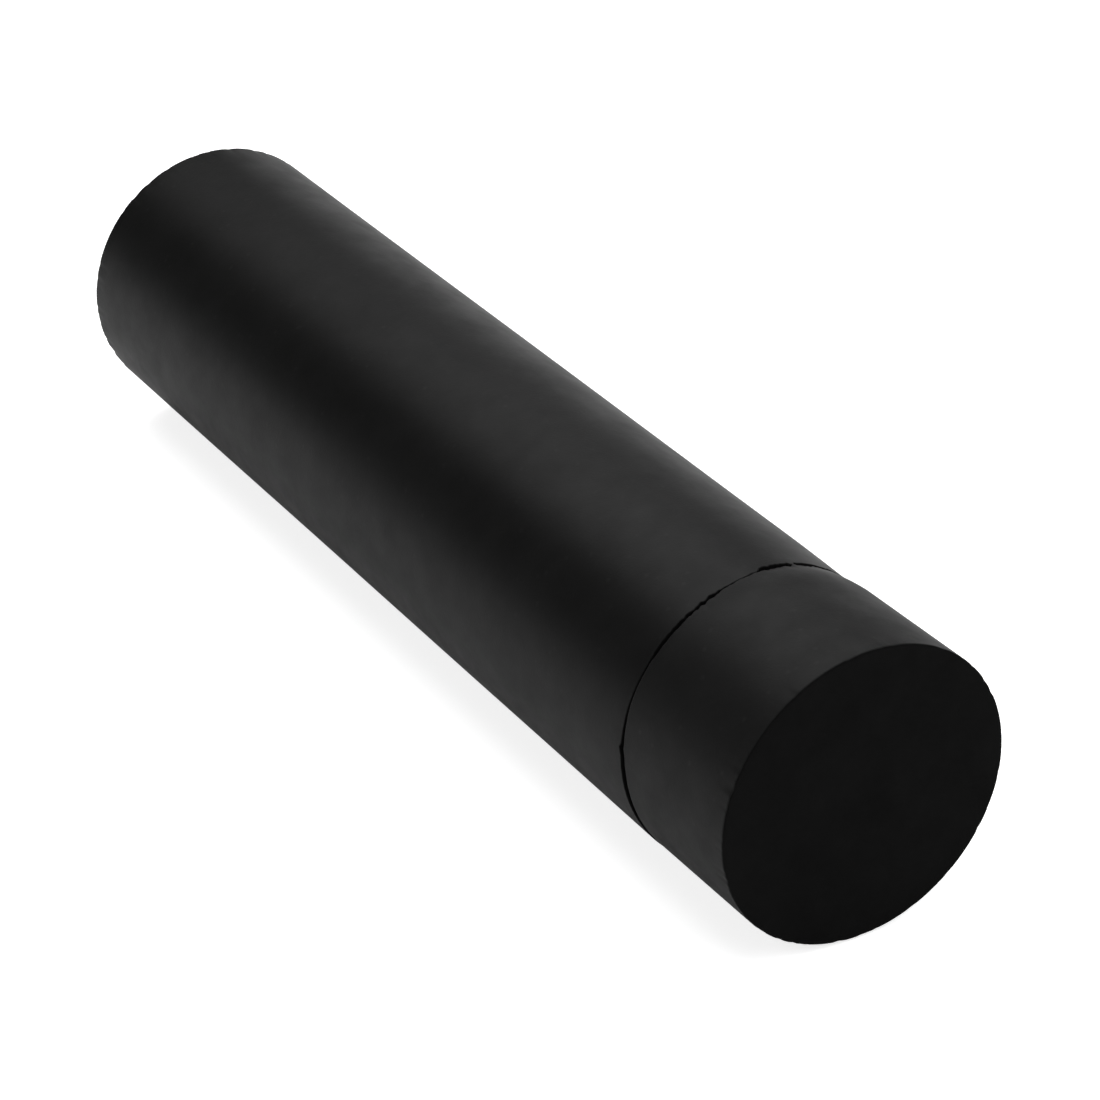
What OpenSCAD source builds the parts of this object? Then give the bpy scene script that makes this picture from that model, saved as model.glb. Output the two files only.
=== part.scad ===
// Foam roller with a hollow core. A short cap at one end screws off and opens the
// storage space inside, and a gap all round the foam shows where the cap begins.
// Sizes are in millimetres. The roller lies along X with its cap at +X, and rests on Z = 0.

/* [Roller] */
// Diameter over the foam
roller_d = 140; // [136:1:160]
// Length from end face to end face
roller_len = 610; // [450:5:920]
// Gap between the sleeve and the cap, all round the seam
seam_gap = 0.8; // [0.6:0.1:1.2]

/* [Foam] */
// Thickness of the foam around the core
foam_t = 18; // [15:0.5:18]
// Thickness of the foam over each end of the core
foam_end_t = 10; // [8:1:14]

/* [Core] */
// Wall of the core tube
core_wall = 4; // [3.5:0.1:4]
// Length of the collar that the cap screws into
collar_len = 40; // [38:1:60]
// Length of the skirt that holds the rear bulkhead in the tube
bulkhead_skirt = 20; // [18:1:40]
// Thickness of the pad that keeps stored things from rattling
pad_t = 3; // [2:0.5:6]

/* [Cap] */
// Length of the cap from the seam to its end face
cap_len = 80; // [75:1:120]
// Wall of the shell inside the cap
shell_wall = 3; // [2:0.5:4]
// Length of the cup's plug that goes into the collar
plug_len = 28; // [28:1:30]

/* [Thread] */
// Distance that the cap moves along X in one full turn
thread_lead = 40; // [38:1:42]
// Number of separate thread ribs, evenly spaced around the axis
thread_starts = 5; // [3:1:5]
// Angle that each thread rib runs through
rib_arc = 100; // [60:5:100]

/* [Fasteners] */
// Number of screws in each ring
screw_count = 4; // [2:1:6]
// Diameter of a screw's shank
screw_d = 3; // [2.5:0.5:3]
// Diameter of a screw's countersunk head
screw_head_d = 6; // [5:0.5:6.5]

/* [Hidden] */
$fn = 96;

foam_colour = "#1c1c1c";
core_colour = "#4a4c50";
liner_colour = "#6a6d72";
seal_colour = "#141414";
steel_colour = "#b8bcc2";
pad_colour = "#2b2d30";

cut = 1;                    // how far a cutting solid runs past the surface it cuts
slack = 0.2;                // play around a loose fit

// Walls of the moulded pieces, and the thread between them
collar_wall = 2.5;          // round the collar's bore
collar_step = 3.5;          // how far the collar's foot stands in from the bore
plug_wall = 3.5;            // of the cup's plug
cup_wall = 3;               // of the cup beyond its flange
skirt_wall = 6;             // of the rear bulkhead's skirt
thread_depth = 1.7;
rib_clear = 0.4;

// Radii from the foam inwards
roller_r = roller_d / 2;
core_r = roller_r - foam_t;
tube_bore_r = core_r - core_wall;
collar_bore_r = tube_bore_r - collar_wall;
collar_seat_r = collar_bore_r - collar_step;
plug_r = collar_bore_r - rib_clear - thread_depth;
cup_bore_r = plug_r - plug_wall;
cup_wall_r = cup_bore_r + cup_wall;

// Places along the axis
rear_x = -roller_len / 2;
front_x = roller_len / 2;
tube_rear_x = rear_x + foam_end_t;
seam_x = front_x - cap_len;
sleeve_end_x = seam_x - seam_gap / 2;
cap_start_x = seam_x + seam_gap / 2;
shell_end_x = front_x - foam_end_t;
collar_flange_t = 3;
collar_flange_x = sleeve_end_x - collar_flange_t;
cup_flange_t = 4;
cup_flange_x = cap_start_x + cup_flange_t;
bulkhead_t = 4;
seat_gap = 0.5;             // between the plug's end and the collar's foot

// The seal and its groove
seal_d = 3;
seal_fn = 32;
seal_clear = 0.1;           // between the seal and the walls on either side of it
seal_r = collar_bore_r - seal_clear - seal_d / 2;
groove_r = seal_r - seal_d / 2 - seal_clear;
groove_play = 0.3;          // at each side of the seal, along the axis
groove_w = seal_d + 2 * groove_play;
land_clear = 0.5;           // between the land that carries the groove and the collar's bore
land_r = collar_bore_r - land_clear;
land_len = 9;
seal_x = seam_x - land_len / 2;

// The thread ribs, as angles around the axis and heights along it
rib_root = 3.4;             // a rib's width where it meets the wall
rib_crest = 2;              // its width at the crest
rib_bite = 0.5;             // how far its foot is sunk in the wall
rib_end = 0.1;              // its height at its very ends, as a share of its full height
rib_fade = 0.25;            // the share of its arc over which it rises from each end
rib_steps = 20;
rib_run = thread_lead * rib_arc / 360;
rib_reach = 24.6;           // from the seam to the rib's far end
rib_start_x = seam_x - rib_reach;

// The screws
screw_head_t = (screw_head_d - screw_d) / 2;
screw_len = 8;
screw_sink = 0.4;           // how far a head lies below the tube's surface
screw_fn = 48;
head_play = 0.2;            // round a head in its countersink
slot_w = 0.9;
slot_l = screw_head_d * 0.62;
slot_depth = 1.2;
cap_screw_len = 12;
neck_screw_up = 8;          // from the end of the collar's foot
neck_screw_x = collar_flange_x - collar_len + neck_screw_up;
bulkhead_screw_x = tube_rear_x + bulkhead_t + bulkhead_skirt / 2;
ring_start = 180 / screw_count;

// Edges of the moulded collar and cup
chamfer = 0.6;
lead_in = 1;                // the slope that lets the plug and its seal find the bore

// The cup's floor, where the cap screws go through to the shell's posts
cup_floor_t = 3;
cup_corner_r = 5;
post_len = 10;
post_d = 10;
post_ring_r = 30;
cup_end_x = shell_end_x - shell_wall - post_len;

// Lays a shape that is built upwards from z = 0 along the roller's axis, starting at x.
module at(x) {
    translate([x, 0, roller_r]) rotate([0, 90, 0]) children();
}

// A tube that stands on z = 0.
module tube(outer_r, inner_r, h) {
    difference() {
        cylinder(r = outer_r, h = h);
        translate([0, 0, -cut]) cylinder(r = inner_r, h = h + 2 * cut);
    }
}

// Puts one copy of a shape at each place of a screw ring.
module screw_ring() {
    for (i = [0 : screw_count - 1])
        rotate([0, 0, ring_start + i * 360 / screw_count]) children();
}

// Turns a shape that points down to z = 0 so that it points at the axis from radius r.
module radial(r) {
    translate([r, 0, 0]) rotate([0, 90, 0]) children();
}

// A countersunk screw with its head's face at z = 0 and its shank below.
module screw(len) {
    join = 0.01;
    difference() {
        union() {
            translate([0, 0, -len])
                cylinder(d = screw_d, h = len - screw_head_t + join, $fn = screw_fn);
            translate([0, 0, -screw_head_t])
                cylinder(d1 = screw_d, d2 = screw_head_d, h = screw_head_t, $fn = screw_fn);
        }
        for (turn = [0, 90]) rotate([0, 0, turn])
            translate([-slot_l / 2, -slot_w / 2, -slot_depth])
                cube([slot_l, slot_w, slot_depth + cut]);
    }
}

// The hole for such a screw, with a pilot of the shank's own size.
module screw_hole(len) {
    mouth_d = screw_head_d + 2 * head_play;
    translate([0, 0, -len]) cylinder(d = screw_d, h = len + cut, $fn = screw_fn);
    translate([0, 0, -screw_head_t - head_play / 2])
        cylinder(d1 = screw_d, d2 = mouth_d, h = screw_head_t + head_play, $fn = screw_fn);
    cylinder(d = mouth_d, h = 3 * cut, $fn = screw_fn);
}

// The corners of a thread rib's section at one step: its foot is at radius root_r and its
// crest at crest_r, and it thins away at both ends of its arc.
function rib_section(i, root_r, crest_r, x) =
    let (
        angle = rib_arc * i / rib_steps,
        rise = min(1, rib_end + min(i, rib_steps - i) / (rib_steps * rib_fade)),
        tip_r = root_r + (crest_r - root_r) * rise,
        foot_r = root_r - sign(crest_r - root_r) * rib_bite,
        z = x + rib_run * i / rib_steps
    )
    [
        for (corner = [
            [foot_r, -rib_root / 2], [tip_r, -rib_crest / 2],
            [tip_r, rib_crest / 2], [foot_r, rib_root / 2]
        ])
            [corner[0] * cos(angle), corner[0] * sin(angle), z + corner[1]]
    ];

// One right-hand thread rib.
module rib(root_r, crest_r, x) {
    points = [for (i = [0 : rib_steps]) each rib_section(i, root_r, crest_r, x)];
    last = 4 * rib_steps;
    outward = crest_r > root_r;
    sides = [
        for (i = [0 : rib_steps - 1], k = [0 : 3])
            let (a = 4 * i + k, b = 4 * i + (k + 1) % 4)
            outward ? [a, b, b + 4, a + 4] : [a + 4, b + 4, b, a]
    ];
    ends = outward
        ? [[3, 2, 1, 0], [last, last + 1, last + 2, last + 3]]
        : [[0, 1, 2, 3], [last + 3, last + 2, last + 1, last]];
    polyhedron(points, concat(sides, ends), convexity = 4);
}

// A full set of ribs, turned so that one set runs midway between the other's ribs.
module thread(root_r, crest_r, turn) {
    for (i = [0 : thread_starts - 1])
        rotate([0, 0, turn + i * 360 / thread_starts]) rib(root_r, crest_r, rib_start_x);
}

// The long foam sleeve that a person rolls on.
module roller_sleeve() {
    color(foam_colour) at(rear_x) tube(roller_r, core_r, sleeve_end_x - rear_x);
}

// The stiff tube under the foam, drilled for the two rings of screws.
module core_tube() {
    color(core_colour) difference() {
        at(tube_rear_x) tube(core_r, tube_bore_r, collar_flange_x - tube_rear_x);
        for (x = [neck_screw_x, bulkhead_screw_x])
            at(x) screw_ring() radial(core_r - screw_sink) screw_hole(screw_len);
    }
}

// The collar in the tube's mouth: a flange over the tube's end, a smooth bore for the seal,
// the inner thread, and a thick foot that the neck screws bite into.
module neck_collar() {
    foot_x = collar_flange_x - collar_len;
    seat_x = seam_x - plug_len - seat_gap;
    outline = [
        [tube_bore_r, foot_x + chamfer],
        [tube_bore_r - chamfer, foot_x],
        [collar_seat_r + chamfer, foot_x],
        [collar_seat_r, foot_x + chamfer],
        [collar_seat_r, seat_x - chamfer],
        [collar_seat_r + chamfer, seat_x],
        [collar_bore_r, seat_x],
        [collar_bore_r, sleeve_end_x - lead_in],
        [collar_bore_r + lead_in, sleeve_end_x],
        [core_r, sleeve_end_x],
        [core_r, collar_flange_x],
        [tube_bore_r, collar_flange_x]
    ];
    color(liner_colour) {
        difference() {
            at(0) rotate_extrude() polygon(outline);
            at(neck_screw_x) screw_ring() radial(core_r - screw_sink) screw_hole(screw_len);
        }
        at(0) thread(collar_bore_r, collar_bore_r - thread_depth, 0);
    }
}

// The screws through the tube into the collar's foot.
module neck_screws() {
    color(steel_colour) at(neck_screw_x) screw_ring() radial(core_r - screw_sink) screw(screw_len);
}

// The bulkhead that closes the tube's rear end.
module rear_bulkhead() {
    color(liner_colour) difference() {
        at(tube_rear_x) cylinder(r = tube_bore_r, h = bulkhead_t + bulkhead_skirt);
        at(tube_rear_x + bulkhead_t)
            cylinder(r = tube_bore_r - skirt_wall, h = bulkhead_skirt + cut);
        at(bulkhead_screw_x) screw_ring() radial(core_r - screw_sink) screw_hole(screw_len);
    }
}

// The screws through the tube into the bulkhead's skirt.
module bulkhead_screws() {
    color(steel_colour) at(bulkhead_screw_x) screw_ring() radial(core_r - screw_sink) screw(screw_len);
}

// The foam disc set in the sleeve's rear end, over the bulkhead.
module rear_foam_disc() {
    color(foam_colour) at(rear_x) cylinder(r = core_r, h = foam_end_t);
}

// The soft pad on the floor of the storage space.
module floor_pad() {
    color(pad_colour) at(tube_rear_x + bulkhead_t)
        cylinder(r = tube_bore_r - skirt_wall - slack, h = pad_t);
}

// The rubber ring that seals the cap and holds it still by friction.
module o_ring() {
    color(seal_colour) at(seal_x) rotate_extrude()
        translate([seal_r, 0]) circle(d = seal_d, $fn = seal_fn);
}

// The cap's foam, one moulding that covers its side and its end face.
module cap_sleeve() {
    color(foam_colour) difference() {
        at(cap_start_x) cylinder(r = roller_r, h = front_x - cap_start_x);
        at(cap_start_x - cut) cylinder(r = core_r, h = shell_end_x - cap_start_x + cut);
    }
}

// The stiff shell under the cap's foam, with a post for each cap screw.
module cap_shell() {
    floor_x = shell_end_x - shell_wall;
    color(core_colour) difference() {
        union() {
            at(cup_flange_x) tube(core_r, core_r - shell_wall, shell_end_x - cup_flange_x);
            at(floor_x) cylinder(r = core_r - shell_wall / 2, h = shell_wall);
            at(cup_end_x) screw_ring() translate([post_ring_r, 0, 0])
                cylinder(d = post_d, h = post_len + shell_wall / 2);
        }
        at(cup_end_x - cut) screw_ring() translate([post_ring_r, 0, 0])
            cylinder(d = screw_d, h = post_len + cut, $fn = screw_fn);
    }
}

// The threaded cup: a plug that screws into the collar, a groove for the seal, a flange that
// closes the shell, and a floor with a rounded corner that makes the cap a shallow pot.
module threaded_cup() {
    plug_x = seam_x - plug_len;
    floor_x = cup_end_x - cup_floor_t;
    outline = [
        [cup_bore_r + chamfer, plug_x],
        [plug_r - lead_in, plug_x],
        [plug_r, plug_x + lead_in],
        [plug_r, seam_x - land_len],
        [land_r - chamfer, seam_x - land_len],
        [land_r, seam_x - land_len + chamfer],
        [land_r, seal_x - groove_w / 2],
        [groove_r, seal_x - groove_w / 2],
        [groove_r, seal_x + groove_w / 2],
        [land_r, seal_x + groove_w / 2],
        [land_r, cap_start_x],
        [core_r, cap_start_x],
        [core_r, cup_flange_x],
        [cup_wall_r, cup_flange_x],
        [cup_wall_r, cup_end_x - chamfer],
        [cup_wall_r - chamfer, cup_end_x],
        [0, cup_end_x],
        [0, floor_x],
        for (turn = [0 : 15 : 90])
            [cup_bore_r + cup_corner_r * (sin(turn) - 1), floor_x + cup_corner_r * (cos(turn) - 1)],
        [cup_bore_r, plug_x + chamfer]
    ];
    color(liner_colour) {
        difference() {
            at(0) rotate_extrude() polygon(outline);
            at(floor_x) screw_ring() translate([post_ring_r, 0, 0])
                rotate([180, 0, 0]) screw_hole(cup_floor_t + cut);
        }
        at(0) thread(plug_r, plug_r + thread_depth, 180 / thread_starts);
    }
}

// The screws through the cup's floor into the shell's posts.
module cap_screws() {
    color(steel_colour) at(cup_end_x - cup_floor_t) screw_ring()
        translate([post_ring_r, 0, 0]) rotate([180, 0, 0]) screw(cap_screw_len);
}

roller_sleeve();
core_tube();
neck_collar();
neck_screws();
rear_bulkhead();
bulkhead_screws();
rear_foam_disc();
floor_pad();
o_ring();
cap_sleeve();
cap_shell();
threaded_cup();
cap_screws();
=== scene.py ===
"""The looks of the foam roller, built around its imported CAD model. Metres, +Z up, +X towards the cap."""

import math

import bpy
from mathutils import Matrix, Vector, noise


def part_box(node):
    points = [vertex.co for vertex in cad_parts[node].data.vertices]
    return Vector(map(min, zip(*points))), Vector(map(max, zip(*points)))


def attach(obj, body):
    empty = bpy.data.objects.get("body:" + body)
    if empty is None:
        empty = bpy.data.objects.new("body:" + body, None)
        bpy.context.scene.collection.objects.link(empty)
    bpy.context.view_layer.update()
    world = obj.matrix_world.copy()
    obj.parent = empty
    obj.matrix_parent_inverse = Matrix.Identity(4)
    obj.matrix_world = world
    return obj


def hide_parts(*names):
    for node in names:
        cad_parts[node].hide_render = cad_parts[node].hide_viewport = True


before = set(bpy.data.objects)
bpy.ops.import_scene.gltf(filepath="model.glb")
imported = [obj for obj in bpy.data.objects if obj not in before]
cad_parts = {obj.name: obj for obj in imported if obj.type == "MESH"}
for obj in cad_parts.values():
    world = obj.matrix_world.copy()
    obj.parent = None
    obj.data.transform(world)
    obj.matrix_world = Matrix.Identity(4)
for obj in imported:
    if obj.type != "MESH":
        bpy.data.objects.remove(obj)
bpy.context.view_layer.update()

MM = 0.001

# ---------------------------------------------------------------- sizes, from the frame
SLEEVE_LOW, SLEEVE_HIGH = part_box("roller_sleeve")
CAP_LOW, CAP_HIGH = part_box("cap_sleeve")
TUBE_LOW, TUBE_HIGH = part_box("core_tube")
CAP_FLOOR_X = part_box("cap_shell")[1].x      # where the cap's foam closes over its shell
AXIS_Y = 0.0
AXIS_Z = (SLEEVE_LOW.z + SLEEVE_HIGH.z) / 2
FOAM_R = (SLEEVE_HIGH.z - SLEEVE_LOW.z) / 2
CORE_R = (TUBE_HIGH.z - TUBE_LOW.z) / 2
SEAM_X = (SLEEVE_HIGH.x + CAP_LOW.x) / 2

# ---------------------------------------------------------------- rounded edges and mesh spacing
ARRIS = 1.0 * MM            # radius of the edge round a flat end
SEAM_ARRIS = 0.5 * MM       # and of the cut edges at the seam
DISC_ARRIS = 0.6 * MM
PAD_ARRIS = 0.8 * MM
ARC_STEPS = 5               # faces across a rounded edge
FLAT_FROM = 1.5             # where the flat beside it starts, in radii from the corner

# A turned piece is a row of rings. Each step is the most that lies between two of them.
TURNS = 840                 # points in a ring
NICK_STEP = 0.9 * MM        # where the seam's edges are nicked
SKEW_STEP = 3 * MM          # where the foam only follows the seam's line
SLEEVE_STEP = 8 * MM        # along the rest of the sleeve's side
CAP_STEP = 6 * MM           # along the rest of the cap's side
SLEEVE_BORE_STEP = 40 * MM
CAP_BORE_STEP = 10 * MM
CAP_FLOOR_STEP = 8 * MM
FACE_STEP = 4 * MM          # across every other flat face
ON_AXIS = 1e-9              # a ring with a smaller radius is a single point


# ---------------------------------------------------------------- mesh code
def on_axis(x, radius, angle, centre=(0.0, 0.0)):
    """The point at x along the roller, at a radius and an angle from +Y towards +Z.

    centre is where the middle of its ring lies, from the axis towards +Y and +Z."""
    return Vector((
        x,
        AXIS_Y + centre[0] + radius * math.cos(angle),
        AXIS_Z + centre[1] + radius * math.sin(angle),
    ))


def stretch(a, b, step):
    """Places from a to b, both ends included, no further apart than step."""
    count = max(1, math.ceil(abs(b - a) / step))
    return [a + (b - a) * i / count for i in range(count + 1)]


def arc(centre, radius, start, end):
    """The (x, r) points of an arc about centre, from one angle to another, in degrees."""
    angles = [math.radians(start + (end - start) * i / ARC_STEPS) for i in range(ARC_STEPS + 1)]
    return [(centre[0] + radius * math.cos(a), centre[1] + radius * math.sin(a)) for a in angles]


def lathe(name, profile, shape, closed):
    """A solid turned about the roller's axis. profile is a list of (x, r) points.

    shape(x, r, angle) gives each point's place. A closed profile makes a tube, and an open
    one starts and ends on the axis, where one point takes the place of a ring."""
    vertices, rings = [], []
    for x, r in profile:
        if r < ON_AXIS:
            rings.append([len(vertices)])
            vertices.append(shape(x, 0.0, 0.0))
            continue
        rings.append(list(range(len(vertices), len(vertices) + TURNS)))
        vertices += [shape(x, r, math.tau * k / TURNS) for k in range(TURNS)]
    faces = []
    pairs = list(zip(rings, rings[1:] + rings[:1] if closed else rings[1:]))
    for low, high in pairs:
        for k in range(TURNS):
            n = (k + 1) % TURNS
            if len(low) == 1:
                faces.append((low[0], high[n], high[k]))
            elif len(high) == 1:
                faces.append((low[k], low[n], high[0]))
            else:
                faces.append((low[k], low[n], high[n], high[k]))
    mesh = bpy.data.meshes.new(name)
    mesh.from_pydata(vertices, [], faces)
    mesh.validate()
    for polygon in mesh.polygons:
        polygon.use_smooth = True
    piece = bpy.data.objects.new(name, mesh)
    bpy.context.scene.collection.objects.link(piece)
    return piece


# ---------------------------------------------------------------- node code
class Shader:
    """A material's node tree, with a Principled shader ready to be wired."""

    def __init__(self, name):
        self.material = bpy.data.materials.new(name)
        self.material.use_nodes = True
        self.tree = self.material.node_tree
        self.out = self.tree.nodes["Principled BSDF"]
        self.place = self.node("ShaderNodeTexCoord").outputs["Object"]

    def node(self, kind, **values):
        """Adds a node and sets its properties or inputs by name, with _ for a space."""
        made = self.tree.nodes.new(kind)
        for key, value in values.items():
            if hasattr(made, key):
                setattr(made, key, value)
            else:
                made.inputs[key.replace("_", " ")].default_value = value
        return made

    def link(self, source, target):
        """Wires an output to an input."""
        self.tree.links.new(source, target)

    def drive(self, name, source):
        """Wires an output to one of the Principled shader's inputs."""
        self.link(source, self.out.inputs[name])

    def set(self, **values):
        """Sets the Principled shader's own inputs by name, with _ for a space."""
        for key, value in values.items():
            self.out.inputs[key.replace("_", " ")].default_value = value

    def noise(self, scale, detail=4.0, roughness=0.5, stretch_by=(1, 1, 1)):
        """Cloudy noise with about `scale` lumps to the metre."""
        mapping = self.node("ShaderNodeMapping")
        mapping.inputs["Scale"].default_value = stretch_by
        self.link(self.place, mapping.inputs["Vector"])
        made = self.node("ShaderNodeTexNoise", Scale=scale, Detail=detail, Roughness=roughness)
        self.link(mapping.outputs["Vector"], made.inputs["Vector"])
        return made.outputs["Fac"]

    def cells(self, scale):
        """Distance to the nearest of about `scale` points to the metre."""
        made = self.node("ShaderNodeTexVoronoi", Scale=scale)
        self.link(self.place, made.inputs["Vector"])
        return made.outputs["Distance"]

    def spread(self, source, low, high, from_low=0.3, from_high=0.7):
        """Maps a range, which is a noise's usual one unless given, onto low to high."""
        made = self.node("ShaderNodeMapRange")
        made.inputs["From Min"].default_value = from_low
        made.inputs["From Max"].default_value = from_high
        made.inputs["To Min"].default_value = low
        made.inputs["To Max"].default_value = high
        self.link(source, made.inputs["Value"])
        return made.outputs["Result"]

    def mix(self, source, low, high):
        """A colour between two, each a tuple or a node's output, by a value from 0 to 1."""
        made = self.node("ShaderNodeMix", data_type="RGBA")
        for end, colour in (("A", low), ("B", high)):
            if isinstance(colour, tuple):
                made.inputs[end].default_value = (*colour, 1)
            else:
                self.link(colour, made.inputs[end])
        self.link(source, made.inputs["Factor"])
        return made.outputs["Result"]

    def bump(self, height, depth, under=None):
        """Adds relief of a depth in metres, on top of the bump `under` if there is one."""
        made = self.node("ShaderNodeBump", Distance=depth)
        self.link(height, made.inputs["Height"])
        if under is not None:
            self.link(under, made.inputs["Normal"])
        self.drive("Normal", made.outputs["Normal"])
        return made.outputs["Normal"]


# ---------------------------------------------------------------- materials
# How fine each pattern is, in lumps or cells to the metre, and how deep each relief is.
FOAM_MOTTLES = 38
FOAM_SHEEN = 55
FOAM_SWELLS = 24
FOAM_SWELL_DEPTH = 0.03 * MM
FOAM_CELLS = 900
FOAM_CELL_DEPTH = 0.02 * MM
SPECKS = 110
SPECK_SIZE = 0.17           # as a share of the space between them
SPECK_HEART = 0.3           # the share of a speck that has its full colour
PLASTIC_CLOUDS = 90
PLASTIC_SHEEN = 220
PLASTIC_GRAIN = 2600
PLASTIC_GRAIN_DEPTH = 0.03 * MM
PLASTIC_RUBS = 420
STEEL_STREAKS = 900
RUBBER_SMEARS = 300
RUBBER_GRAIN = 1500
FAINT_DEPTH = 0.01 * MM     # of rubs, streaks and the rubber's grain


def grey(tone):
    """A neutral colour."""
    return (tone, tone, tone)


def foam_skin(name, dark, light, roughness, specular, speck_colour=None):
    """Black closed-cell foam: fine cells and soft mottling, and paler specks if they have a colour."""
    s = Shader(name)
    colour = s.mix(s.spread(s.noise(FOAM_MOTTLES, detail=5, roughness=0.6), 0, 1), dark, light)
    if speck_colour:
        speck = s.spread(s.cells(SPECKS), 1, 0, SPECK_SIZE * SPECK_HEART, SPECK_SIZE)
        colour = s.mix(speck, colour, speck_colour)
    s.drive("Base Color", colour)
    s.drive("Roughness", s.spread(s.noise(FOAM_SHEEN, detail=6, roughness=0.65), *roughness))
    s.set(Specular_IOR_Level=specular)
    swells = s.bump(s.noise(FOAM_SWELLS, detail=2), FOAM_SWELL_DEPTH)
    s.bump(s.cells(FOAM_CELLS), FOAM_CELL_DEPTH, under=swells)
    return s.material


def plastic(name, dark, light, roughness):
    """Moulded plastic with a fine spark-eroded grain and faint handling marks."""
    s = Shader(name)
    s.drive("Base Color", s.mix(s.spread(s.noise(PLASTIC_CLOUDS, detail=6), 0, 1), dark, light))
    s.drive("Roughness", s.spread(s.noise(PLASTIC_SHEEN, detail=6, roughness=0.7), *roughness))
    grain = s.bump(s.noise(PLASTIC_GRAIN, detail=2), PLASTIC_GRAIN_DEPTH)
    s.bump(s.noise(PLASTIC_RUBS, detail=1, stretch_by=(0.2, 1, 1)), FAINT_DEPTH, under=grain)
    return s.material


def steel(name, dark, light, roughness):
    """Zinc-plated steel with fine streaks."""
    s = Shader(name)
    streaks = s.noise(STEEL_STREAKS, detail=4, roughness=0.7, stretch_by=(1, 0.1, 1))
    s.drive("Base Color", s.mix(s.spread(streaks, 0, 1), dark, light))
    s.drive("Roughness", s.spread(streaks, *roughness))
    s.set(Metallic=1.0)
    s.bump(streaks, FAINT_DEPTH)
    return s.material


def seal_rubber(name, dark, light, roughness):
    """Moulded nitrile rubber with a trace of grease."""
    s = Shader(name)
    smear = s.noise(RUBBER_SMEARS, detail=5)
    s.drive("Base Color", s.mix(s.spread(smear, 0, 1), dark, light))
    s.drive("Roughness", s.spread(smear, *roughness))
    s.bump(s.noise(RUBBER_GRAIN, detail=3), FAINT_DEPTH)
    return s.material


# Each finish goes from its darkest colour to its lightest, and from its glossiest to its roughest.
SLEEVE_SKIN = foam_skin("sleeve_skin", grey(0.006), grey(0.008), (0.395, 0.485), 0.1, grey(0.0105))
CAP_SKIN = foam_skin("cap_skin", grey(0.0062), grey(0.0082), (0.45, 0.55), 0.12, grey(0.0115))
# the cut foam's dull, rough finish is real; its colour, darker than the skin's, is painted shade on the
# flat ends, the seam's walls and the rear disc
CUT_FOAM_PAINTED_SHADE = foam_skin("cut_foam_painted_shade", grey(0.0038), grey(0.005), (0.72, 0.86), 0.05)
PAD_FOAM = foam_skin("pad_foam", (0.02, 0.021, 0.023), (0.034, 0.035, 0.037), (0.8, 0.95), 0.2)
CORE_PLASTIC = plastic("core_plastic_finish", (0.035, 0.037, 0.04), (0.055, 0.057, 0.06), (0.42, 0.58))
LINER_PLASTIC = plastic("liner_plastic_finish", (0.09, 0.095, 0.10), (0.13, 0.135, 0.14), (0.34, 0.48))
SCREW_STEEL = steel("screw_steel_finish", (0.46, 0.47, 0.48), (0.62, 0.62, 0.61), (0.24, 0.42))
SEAL_RUBBER = seal_rubber("seal_rubber_finish", grey(0.006), (0.016, 0.016, 0.017), (0.28, 0.5))


def dress(node, material):
    """Gives a CAD node its material."""
    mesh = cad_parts[node].data
    mesh.materials.clear()
    mesh.materials.append(material)


# ---------------------------------------------------------------- the foam pieces
# The seam is cut by hand, so its line is skew and gapes unevenly. Each station has the angle
# from +Y towards +Z in degrees, and in millimetres how far the line strays towards the cap,
# how wide it gapes, and how ragged its edges are. Between two stations they change evenly.
SEAM = [
    (0, -2.0, 1.2, 0.3),
    (30, -3.8, 2.4, 0.4),
    (45, -4.6, 3.0, 0.8),
    (74.3, -4.9, 3.0, 1.0),
    (74.7, -4.9, 0.2, 0.0),
    (76.1, -4.9, 0.2, 0.0),
    (76.5, -4.9, 3.0, 1.0),
    (88, -4.5, 3.0, 1.0),
    (92, -3.4, 0.5, 0.5),
    (104, -2.5, 0.4, 0.6),
    (110, -2.2, 1.8, 1.0),
    (124, -1.8, 2.0, 0.6),
    (138, -1.5, 2.0, 0.2),
    (144, -1.4, 1.1, 0.1),
    (160, -0.9, 1.1, 0.1),
    (170, 0.0, 1.7, 0.1),
    (174, 0.3, 2.2, 0.1),
    (176, -0.4, 3.2, 0.1),
    (179, 1.0, 2.8, 0.1),
    (186, 1.8, 3.2, 0.1),
    (215, 3.8, 3.2, 0.1),
    (270, 1.8, 1.6, 0.3),
    (320, 0.0, 1.0, 0.3),
]
SEAM_TOUCH = 0.1 * MM       # the least that an edge stays back from the seam's line
SKEW_REACH = 20 * MM        # how far from the seam the foam is still drawn along with its line
NICK_REACH = 5 * MM         # and with the nicks in its edge
NICK_PITCH = 2.6 * MM       # the usual length of a nick
NICK_FINER = 2.1            # how many times shorter the smaller nicks are
SLEEVE_NICKS = 3.3          # seed of the nicks in the sleeve's edge
CAP_NICKS = 8.8             # and in the cap's


def ease(t):
    """Goes smoothly from 0 to 1 as t does, and stays there outside."""
    t = min(1.0, max(0.0, t))
    return t * t * (3 - 2 * t)


def jagged(angle, pitch, finer, seed):
    """Noise around a rim, of about -1 to 1: bumps of a usual length, and weaker, finer ones."""
    along = Vector((math.cos(angle), math.sin(angle), seed)) * FOAM_R / pitch
    return noise.noise(along) + 0.5 * noise.noise(along * finer)


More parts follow.
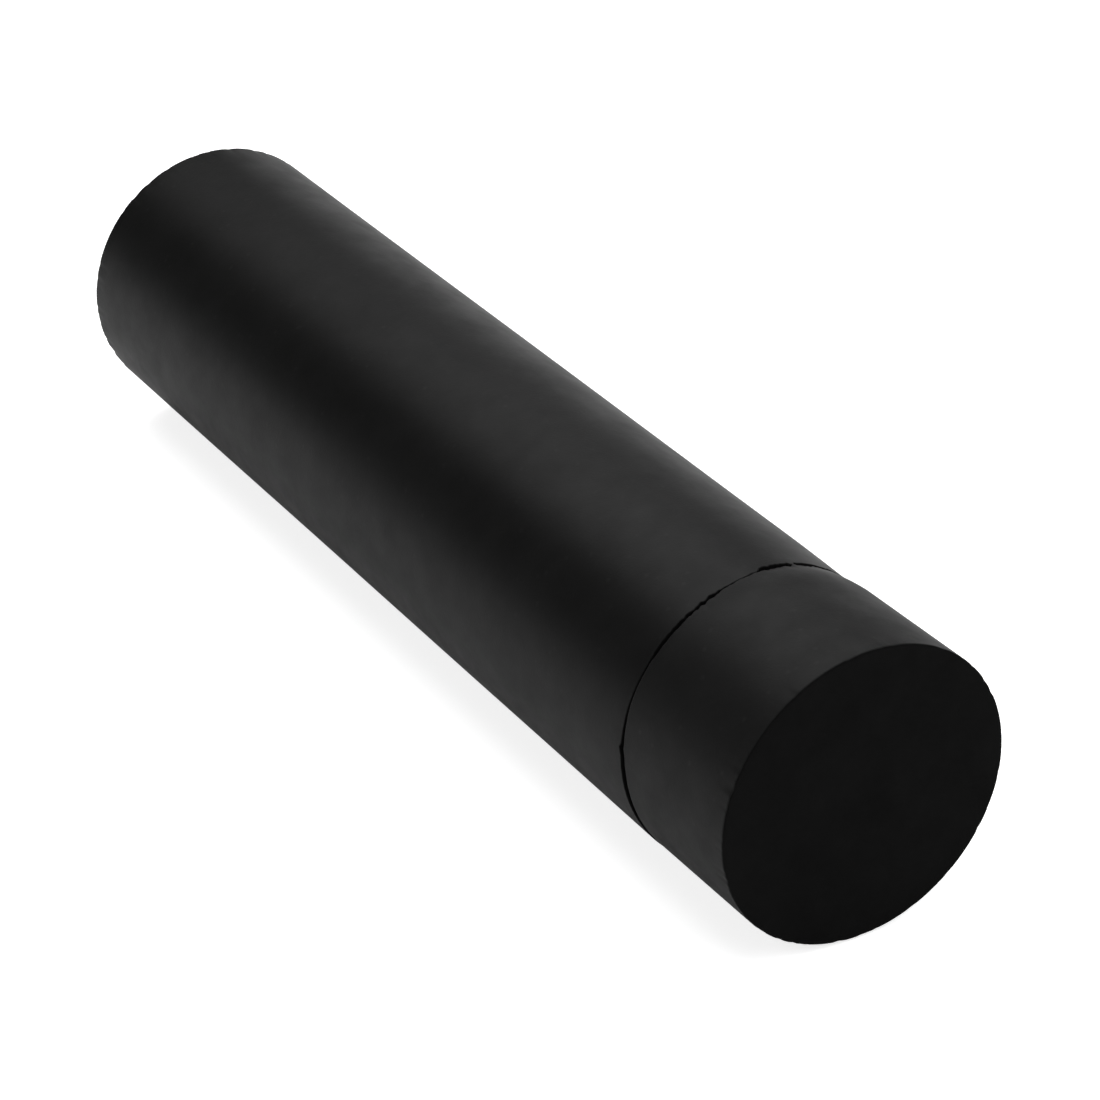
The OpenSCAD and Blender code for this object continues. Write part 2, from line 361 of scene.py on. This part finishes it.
def seam_at(angle):
    """How far the seam's line strays, and how far the sleeve and the cap stand back from it."""
    degrees = math.degrees(angle) % 360
    stations = SEAM + [(SEAM[0][0] + 360, *SEAM[0][1:])]
    low, high = next(pair for pair in zip(stations, stations[1:]) if degrees < pair[1][0])
    share = (degrees - low[0]) / (high[0] - low[0])
    stray, gape, ragged = ((a + (b - a) * share) * MM for a, b in zip(low[1:], high[1:]))
    nicks = [jagged(angle, NICK_PITCH, NICK_FINER, seed) for seed in (SLEEVE_NICKS, CAP_NICKS)]
    return stray, *(max(SEAM_TOUCH, gape / 2 + ragged * nick) for nick in nicks)


SEAM_LINE = [seam_at(math.tau * k / TURNS) for k in range(TURNS)]


def cut_at_seam(end, towards_cap, x, r, angle):
    """The new x of a point, for foam that ends at the seam's line and not square at `end`."""
    stray, sleeve_back, cap_back = SEAM_LINE[round(angle / math.tau * TURNS) % TURNS]
    gap_edge = SEAM_X - sleeve_back if towards_cap else SEAM_X + cap_back
    away = abs(x - end)
    moved = stray * (1 - ease(away / SKEW_REACH)) + (gap_edge - end) * (1 - ease(away / NICK_REACH))
    return x + moved * r / FOAM_R


WAVE = 0.12 * MM            # how far the foam's side waves in and out
WAVE_SUNK = 0.6             # the share of it by which the side is sunk, to stay clear of the floor
WAVES_ALONG = 9             # to the metre
WAVES_ROUND = 0.9           # to each radius of the roller
NIBBLE = 0.7 * MM           # how deep the rim of a flat end is worn
NIBBLE_REACH = 4 * MM       # and how far along the side
NIBBLE_PITCH = 7 * MM       # the usual length of a worn spot
NIBBLE_FINER = 2.3          # how many times shorter the smaller ones are


def waviness(x, angle, seed):
    """How far the foam's side stands out from a true cylinder, which is mostly a little inwards."""
    at = Vector((x * WAVES_ALONG, math.cos(angle) * WAVES_ROUND + seed, math.sin(angle) * WAVES_ROUND))
    return WAVE * (noise.noise(at) - WAVE_SUNK)


def nibbled(x, end, angle, seed):
    """How far the foam's rim at a flat end is worn away, here and there."""
    bite = max(0.0, jagged(angle, NIBBLE_PITCH, NIBBLE_FINER, seed))
    return NIBBLE * bite * (1 - ease(abs(x - end) / NIBBLE_REACH))


def pressed_in(depth, away, length, angle, middle):
    """How far one side of the foam is pressed in at the seam, fading over a length away from it."""
    return depth * (1 - ease(away / length)) * max(0.0, math.cos(angle - middle))


def depth_share(r):
    """0 at the core and 1 at the foam's surface."""
    return min(1.0, max(0.0, (r - CORE_R) / (FOAM_R - CORE_R)))


CUT_SLOPE = 0.7             # a face that looks along the roller more than this is a cut one


def finish_foam(piece, skin):
    """Gives the moulded side its skin, and the faces cut across the roller their cut cells, in a darker
    colour that is painted shade.
    """
    piece.data.materials.append(skin)
    piece.data.materials.append(CUT_FOAM_PAINTED_SHADE)
    for polygon in piece.data.polygons:
        polygon.material_index = int(abs(polygon.normal.x) > CUT_SLOPE)


DIP = 0.5 * MM              # how far the sleeve's upper side is pressed in at the seam
DIP_LENGTH = 50 * MM
DIP_ANGLE = math.radians(45)


def sleeve():
    """The long sleeve: a tube with rounded edges, open at the seam and round the rear disc."""
    rear, front = SLEEVE_LOW.x, SLEEVE_HIGH.x
    side = (
        stretch(rear + FLAT_FROM * ARRIS, front - SKEW_REACH, SLEEVE_STEP)
        + stretch(front - SKEW_REACH, front - NICK_REACH, SKEW_STEP)[1:]
        + stretch(front - NICK_REACH, front - FLAT_FROM * SEAM_ARRIS, NICK_STEP)[1:]
    )
    profile = (
        arc((rear + ARRIS, FOAM_R - ARRIS), ARRIS, 180, 90)
        + [(x, FOAM_R) for x in side]
        + arc((front - SEAM_ARRIS, FOAM_R - SEAM_ARRIS), SEAM_ARRIS, 90, 0)
        + [(front, r) for r in stretch(FOAM_R - FLAT_FROM * SEAM_ARRIS, CORE_R, FACE_STEP)]
        + [(x, CORE_R) for x in stretch(front, rear, SLEEVE_BORE_STEP)][1:-1]
        + [(rear, r) for r in stretch(CORE_R, FOAM_R - FLAT_FROM * ARRIS, FACE_STEP)]
    )

    def shape(x, r, angle):
        pressed = pressed_in(DIP, front - x, DIP_LENGTH, angle, DIP_ANGLE)
        worn = nibbled(x, rear, angle, seed=1.7)
        r += (waviness(x, angle, seed=0.0) - pressed - worn) * depth_share(r)
        return on_axis(cut_at_seam(front, True, x, r, angle), r, angle)

    piece = lathe("sleeve_foam", profile, shape, closed=True)
    finish_foam(piece, SLEEVE_SKIN)
    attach(piece, "roller")
    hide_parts("roller_sleeve")


# The cap's foam is a little thicker than the sleeve's and leans up towards its front. Its
# centre's place is given at the seam and at the front, from the axis towards +Y and +Z.
CAP_REAR_PROUD = 0.35 * MM  # how much larger its radius is than the sleeve's, at the seam
CAP_FRONT_PROUD = 0.6 * MM
CAP_REAR_OFF = (0.3 * MM, 0.7 * MM)
CAP_FRONT_OFF = (0.3 * MM, 2.0 * MM)
CAP_SHORT = 0.9 * MM        # how far its worn face stands back from its nominal place
LIP_FALL = 1.3 * MM         # how far its upper lip at the seam is pressed in
LIP_LENGTH = 12 * MM
LIP_ANGLE = math.radians(65)
LEAD_IN = 0.6 * MM          # chamfer that clears the collar's flange
LEAD_IN_LENGTH = 5 * MM


def cap():
    """The cap's foam: a cup, with a side that stands a little proud of the sleeve's."""
    start, front = CAP_LOW.x, CAP_HIGH.x
    side = (
        stretch(start + FLAT_FROM * SEAM_ARRIS, start + NICK_REACH, NICK_STEP)
        + stretch(start + NICK_REACH, start + SKEW_REACH, SKEW_STEP)[1:]
        + stretch(start + SKEW_REACH, front - FLAT_FROM * ARRIS, CAP_STEP)[1:]
    )
    profile = (
        [(CAP_FLOOR_X, r) for r in stretch(0.0, CORE_R, CAP_FLOOR_STEP)]
        + [(x, CORE_R) for x in stretch(CAP_FLOOR_X, start + LEAD_IN_LENGTH, CAP_BORE_STEP)][1:]
        + [(start, r) for r in stretch(CORE_R + LEAD_IN, FOAM_R - FLAT_FROM * SEAM_ARRIS, FACE_STEP)]
        + arc((start + SEAM_ARRIS, FOAM_R - SEAM_ARRIS), SEAM_ARRIS, 180, 90)
        + [(x, FOAM_R) for x in side]
        + arc((front - ARRIS, FOAM_R - ARRIS), ARRIS, 90, 0)
        + [(front, r) for r in stretch(FOAM_R - FLAT_FROM * ARRIS, 0.0, FACE_STEP)]
    )

    def shape(x, r, angle):
        outer = min(1.0, r / FOAM_R) if x > CAP_FLOOR_X else depth_share(r)
        along = (x - start) / (front - start)
        centre = [(a + (b - a) * along) * outer for a, b in zip(CAP_REAR_OFF, CAP_FRONT_OFF)]
        proud = CAP_REAR_PROUD + (CAP_FRONT_PROUD - CAP_REAR_PROUD) * along
        pressed = pressed_in(LIP_FALL, x - start, LIP_LENGTH, angle, LIP_ANGLE)
        worn = nibbled(x, front, angle, seed=4.4)
        r += (waviness(x, angle, seed=5.0) + proud - pressed - worn) * depth_share(r)
        x = cut_at_seam(start, False, x, r, angle)
        x -= CAP_SHORT * ease((x - CAP_FLOOR_X) / (front - CAP_FLOOR_X))
        return on_axis(x, r, angle, centre)

    piece = lathe("cap_foam", profile, shape, closed=False)
    finish_foam(piece, CAP_SKIN)
    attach(piece, "cap")
    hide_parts("cap_sleeve")


DISC_GAP = 0.15 * MM        # between the rear disc and the sleeve around it


def disc(name, node, material, arris, gap=0.0):
    """A round of foam with rounded edges, in the place of a node on the roller."""
    low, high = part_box(node)
    radius = (high.z - low.z) / 2 - gap
    flat = radius - FLAT_FROM * arris
    profile = (
        [(low.x, r) for r in stretch(0.0, flat, FACE_STEP)]
        + arc((low.x + arris, radius - arris), arris, 180, 90)
        + arc((high.x - arris, radius - arris), arris, 90, 0)
        + [(high.x, r) for r in stretch(flat, 0.0, FACE_STEP)]
    )
    piece = lathe(name, profile, on_axis, closed=False)
    piece.data.materials.append(material)
    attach(piece, "roller")
    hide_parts(node)


sleeve()
cap()
# the rear disc is cut foam, in its darker colour of painted shade
disc("rear_disc_foam", "rear_foam_disc", CUT_FOAM_PAINTED_SHADE, DISC_ARRIS, DISC_GAP)
disc("floor_pad_foam", "floor_pad", PAD_FOAM, PAD_ARRIS)
for material, nodes in (
    (CORE_PLASTIC, ("core_tube", "cap_shell")),
    (LINER_PLASTIC, ("neck_collar", "rear_bulkhead", "threaded_cup")),
    (SEAL_RUBBER, ("o_ring",)),
    (SCREW_STEEL, ("neck_screws", "bulkhead_screws", "cap_screws")),
):
    for node in nodes:
        dress(node, material)


# ---------------------------------------------------------------- floor, light and camera
# The floor glows like a light table, evenly where the camera sees it. In the roller's reflections
# it is dimmer close under the roller, a painted contact shadow, and ends some way off. Each zone
# has its centre, half its size along X and Y, and the width of the fade around it.
FLOOR_HALF = 15.0
FLOOR_CLOUDS = 1.5          # to the metre
FLOOR_SEEN_GLOW = 0.8
FLOOR_GLOW = 0.38
# the glow of the painted shadow close under the roller
FLOOR_SHADOW_GLOW = 0.1
PAINTED_SHADOW_ZONE = ((-0.03, 0.0), (0.28, 0.06), 0.21)
TABLE_ZONE = ((-0.2, 0.35), (0.75, 0.65), 0.32)
WHITE = (1, 1, 1, 1)


def seen_directly(tree, elsewhere, directly):
    """A strength that is a node's output `elsewhere`, but plain and even where a camera sees it."""
    rays = tree.nodes.new("ShaderNodeLightPath")
    choice = tree.nodes.new("ShaderNodeMapRange")
    choice.inputs["To Max"].default_value = directly
    tree.links.new(elsewhere, choice.inputs["To Min"])
    tree.links.new(rays.outputs["Is Camera Ray"], choice.inputs["Value"])
    return choice.outputs["Result"]


def beyond(s, zone):
    """0 inside a rectangle on the floor, and 1 a fade's width outside it."""
    centre, halves, fade_width = zone
    split = s.node("ShaderNodeSeparateXYZ")
    shifted = s.node("ShaderNodeVectorMath", operation="SUBTRACT")
    shifted.inputs[1].default_value = (*centre, 0)
    s.link(s.place, shifted.inputs[0])
    s.link(shifted.outputs[0], split.inputs[0])
    outside = s.node("ShaderNodeCombineXYZ")
    for axis, half in zip("XY", halves):
        size = s.node("ShaderNodeMath", operation="ABSOLUTE")
        s.link(split.outputs[axis], size.inputs[0])
        past = s.node("ShaderNodeMath", operation="SUBTRACT")
        s.link(size.outputs[0], past.inputs[0])
        past.inputs[1].default_value = half
        clipped = s.node("ShaderNodeMath", operation="MAXIMUM")
        s.link(past.outputs[0], clipped.inputs[0])
        clipped.inputs[1].default_value = 0.0
        s.link(clipped.outputs[0], outside.inputs[axis])
    length = s.node("ShaderNodeVectorMath", operation="LENGTH")
    s.link(outside.outputs[0], length.inputs[0])
    fade = s.node("ShaderNodeMapRange", interpolation_type="SMOOTHSTEP")
    fade.inputs["From Max"].default_value = fade_width
    s.link(length.outputs["Value"], fade.inputs["Value"])
    return fade.outputs["Result"]


def floor():
    """A large, pale, matt floor that glows, dimmer close under the roller in its reflections as a painted
    shadow.
    """
    corners = [(x * FLOOR_HALF, y * FLOOR_HALF, 0) for x, y in ((-1, -1), (1, -1), (1, 1), (-1, 1))]
    mesh = bpy.data.meshes.new("floor")
    mesh.from_pydata(corners, [], [(0, 1, 2, 3)])
    piece = bpy.data.objects.new("floor", mesh)
    bpy.context.scene.collection.objects.link(piece)
    s = Shader("floor_finish")
    s.drive("Base Color", s.mix(s.spread(s.noise(FLOOR_CLOUDS, detail=3), 0, 1), grey(0.86), grey(0.89)))
    s.set(Roughness=0.9, Specular_IOR_Level=0.0, Emission_Color=WHITE)
    # painted shadow: in the roller's reflections the glow is dimmer close under it
    shadowed_glow = s.spread(beyond(s, PAINTED_SHADOW_ZONE), FLOOR_SHADOW_GLOW, FLOOR_GLOW, 0, 1)
    drop = s.spread(beyond(s, TABLE_ZONE), 0, FLOOR_GLOW, 0, 1)
    glow = s.node("ShaderNodeMath", operation="SUBTRACT")
    s.link(shadowed_glow, glow.inputs[0])
    s.link(drop, glow.inputs[1])
    s.drive("Emission Strength", seen_directly(s.tree, glow.outputs[0], FLOOR_SEEN_GLOW))
    mesh.materials.append(s.material)


MIDDLE = (0, AXIS_Y, AXIS_Z)
UNDER = (0, AXIS_Y, 0)
# Each softbox has its place, the point it faces, its width and height, and its radiance.
SOFTBOXES = {
    "back_box": ((-1.85, 0.25, 2.5), MIDDLE, (2.8, 1.6), 3.3),
    "rim_box": ((-2.2, 1.9, 0.55), MIDDLE, (1.6, 0.9), 1.2),
    "front_box": ((1.6, 1.4, 2.4), UNDER, (2.4, 2.4), 1.2),
    "fore_box": ((1.85, -0.35, 2.1), MIDDLE, (2.0, 1.4), 1.5),
    "left_box": ((0.1, -2.4, 2.0), MIDDLE, (2.2, 1.2), 1.4),
    "right_box": ((0.1, 2.4, 2.0), MIDDLE, (2.2, 1.2), 1.4),
    "top_box": ((0.6, 0, 3.2), UNDER, (2.4, 2.4), 1.2),
}


def softbox(name, place, aim, size, radiance):
    """A rectangular area light of an even brightness, aimed at a point."""
    width, height = size
    data = bpy.data.lights.new(name, "AREA")
    data.shape = "RECTANGLE"
    data.size = width
    data.size_y = height
    data.energy = radiance * math.pi * width * height
    light = bpy.data.objects.new(name, data)
    light.location = place
    light.rotation_euler = (Vector(aim) - Vector(place)).to_track_quat("-Z", "Y").to_euler()
    light.visible_camera = False
    bpy.context.scene.collection.objects.link(light)


HORIZON_GLOW = 0.045
ZENITH_GLOW = 0.004
BACKDROP_GLOW = 1.5
HORIZON_TOP = 0.03          # the height, as a unit direction's Z, where the glow starts to fade
ZENITH_FROM = 0.2           # and where it stops


def surroundings():
    """A studio that reflects palest at the horizon, while the camera sees an even backdrop."""
    world = bpy.data.worlds.new("studio")
    bpy.context.scene.world = world
    world.use_nodes = True
    tree = world.node_tree
    place = tree.nodes.new("ShaderNodeTexCoord")
    split = tree.nodes.new("ShaderNodeSeparateXYZ")
    ramp = tree.nodes.new("ShaderNodeMapRange")
    ramp.interpolation_type = "SMOOTHSTEP"
    ramp.inputs["From Min"].default_value = HORIZON_TOP
    ramp.inputs["From Max"].default_value = ZENITH_FROM
    ramp.inputs["To Min"].default_value = HORIZON_GLOW
    ramp.inputs["To Max"].default_value = ZENITH_GLOW
    tree.links.new(place.outputs["Generated"], split.inputs[0])
    tree.links.new(split.outputs["Z"], ramp.inputs["Value"])
    glow = seen_directly(tree, ramp.outputs["Result"], BACKDROP_GLOW)
    background = tree.nodes["Background"]
    background.inputs["Color"].default_value = WHITE
    tree.links.new(glow, background.inputs["Strength"])


CAMERA_AIM = Vector((0.0560, -0.0048, 0.0723))
CAMERA_AWAY = 1.75
CAMERA_AZIMUTH = 59.22      # degrees, from -Y towards +X
CAMERA_ELEVATION = 28.78
CAMERA_ROLL = 0.34
CAMERA_SENSOR = 36          # millimetres, as its lens is
CAMERA_LENS = 123.5


def camera():
    """The camera, looking down on the roller from beyond its cap with a long lens."""
    azimuth, elevation = math.radians(CAMERA_AZIMUTH), math.radians(CAMERA_ELEVATION)
    back = Vector((
        math.sin(azimuth) * math.cos(elevation),
        -math.cos(azimuth) * math.cos(elevation),
        math.sin(elevation),
    ))
    data = bpy.data.cameras.new("camera")
    data.sensor_width = CAMERA_SENSOR
    data.lens = CAMERA_LENS
    eye = bpy.data.objects.new("camera", data)
    eye.location = CAMERA_AIM + back * CAMERA_AWAY
    level = (-back).to_track_quat("-Z", "Y").to_matrix()
    eye.rotation_euler = (level @ Matrix.Rotation(math.radians(CAMERA_ROLL), 3, "Z")).to_euler()
    bpy.context.scene.collection.objects.link(eye)
    bpy.context.scene.camera = eye


floor()
surroundings()
for name, (place, aim, size, radiance) in SOFTBOXES.items():
    softbox(name, place, aim, size, radiance)
camera()
bpy.context.scene.view_settings.view_transform = "Standard"
